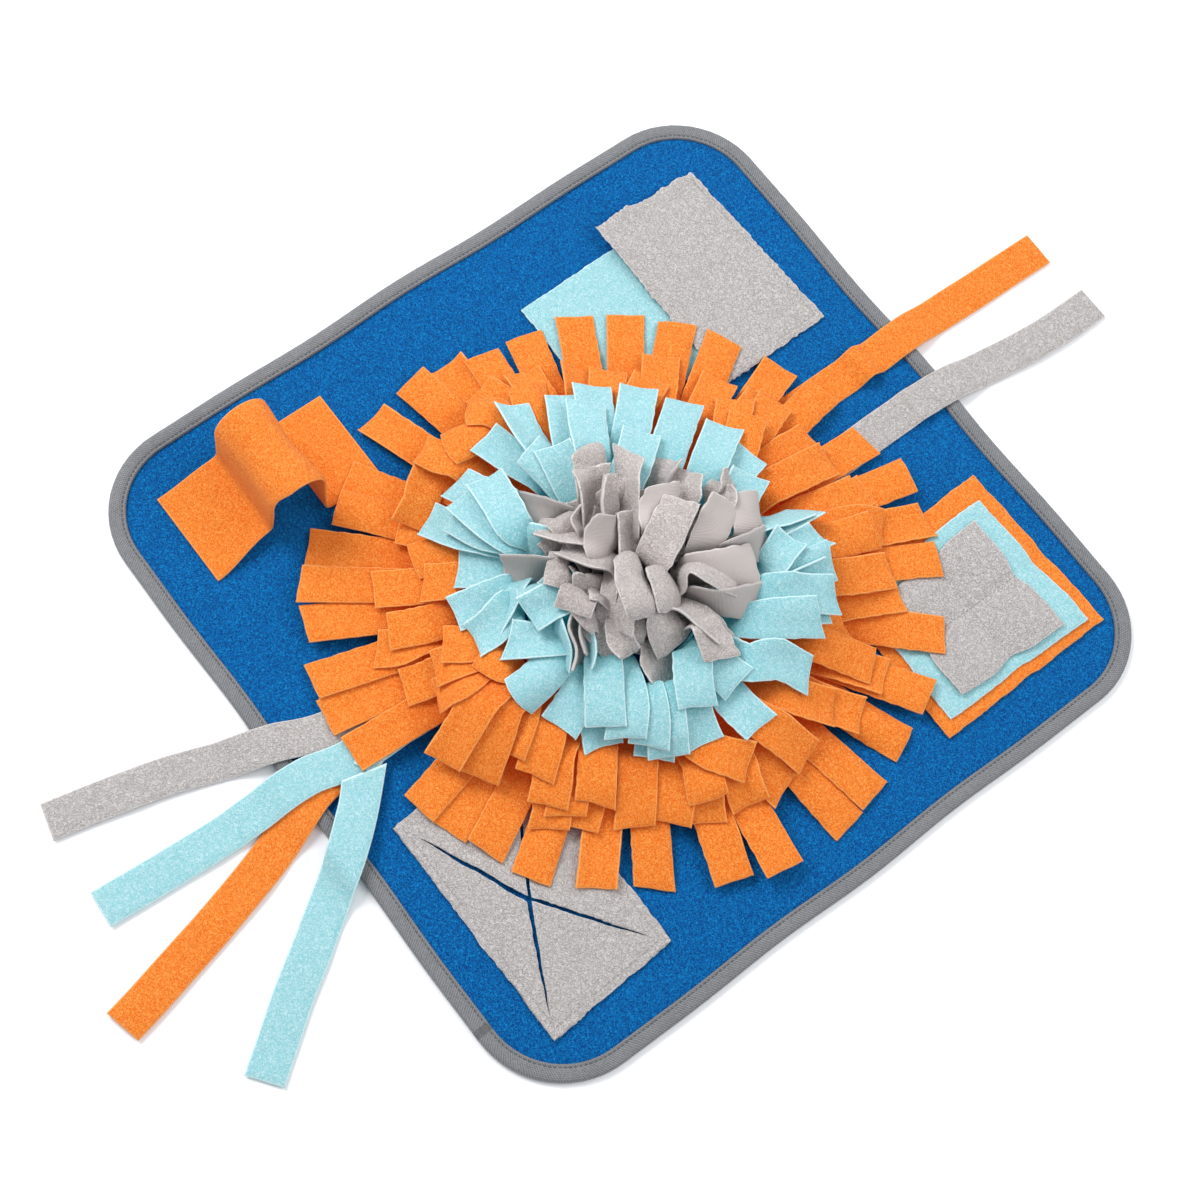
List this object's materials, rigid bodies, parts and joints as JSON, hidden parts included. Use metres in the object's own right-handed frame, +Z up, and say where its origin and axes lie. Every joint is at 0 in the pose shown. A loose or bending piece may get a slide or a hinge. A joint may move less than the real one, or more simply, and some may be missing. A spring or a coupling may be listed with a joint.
{
  "type": "snuffle mat",
  "caption": "Fleece foraging mat for a dog: bound square base, layered fringed flower, tunnel loop, flap pocket, slit patch, stacked pages and loose ties.",
  "frame": {"origin": "centre of the mat's underside, on the surface it lies on", "axes": "+Z up; +Y towards the two far ties, -Y towards the four near ties; +X towards the stacked pages and the slit patch"},
  "size_m": [0.4972, 0.7931, 0.0757],
  "materials": {
    "blue_fleece": "short pebbled fleece, matt",
    "grey_tape": "knitted binding tape, matt",
    "orange_fleece": "anti-pill fleece, matt",
    "aqua_fleece": "anti-pill fleece, matt",
    "grey_fleece": "fleece, fuzzy on one side and smooth on the other"
  },
  "bodies": {
    "root": {"base_mat": "blue_fleece", "binding": "grey_tape", "pocket_aqua": "aqua_fleece", "flap_grey": "grey_fleece", "slit_patch": "grey_fleece", "page_orange": "orange_fleece", "page_aqua": "aqua_fleece", "page_grey": "grey_fleece", "tunnel_loop": "orange_fleece", "tie_grey_near": "grey_fleece", "tie_orange_near": "orange_fleece", "tie_aqua_near": "aqua_fleece", "tie_aqua_side": "aqua_fleece", "tie_orange_far": "orange_fleece", "tie_grey_far": "grey_fleece", "fringe_orange_outer": "orange_fleece", "fringe_orange_middle": "orange_fleece", "fringe_orange_inner": "orange_fleece", "fringe_aqua_outer": "aqua_fleece", "fringe_aqua_inner": "aqua_fleece", "fringe_grey_outer": "grey_fleece", "fringe_grey_middle": "grey_fleece", "fringe_grey_top": "grey_fleece"}
  },
  "joints": []
}
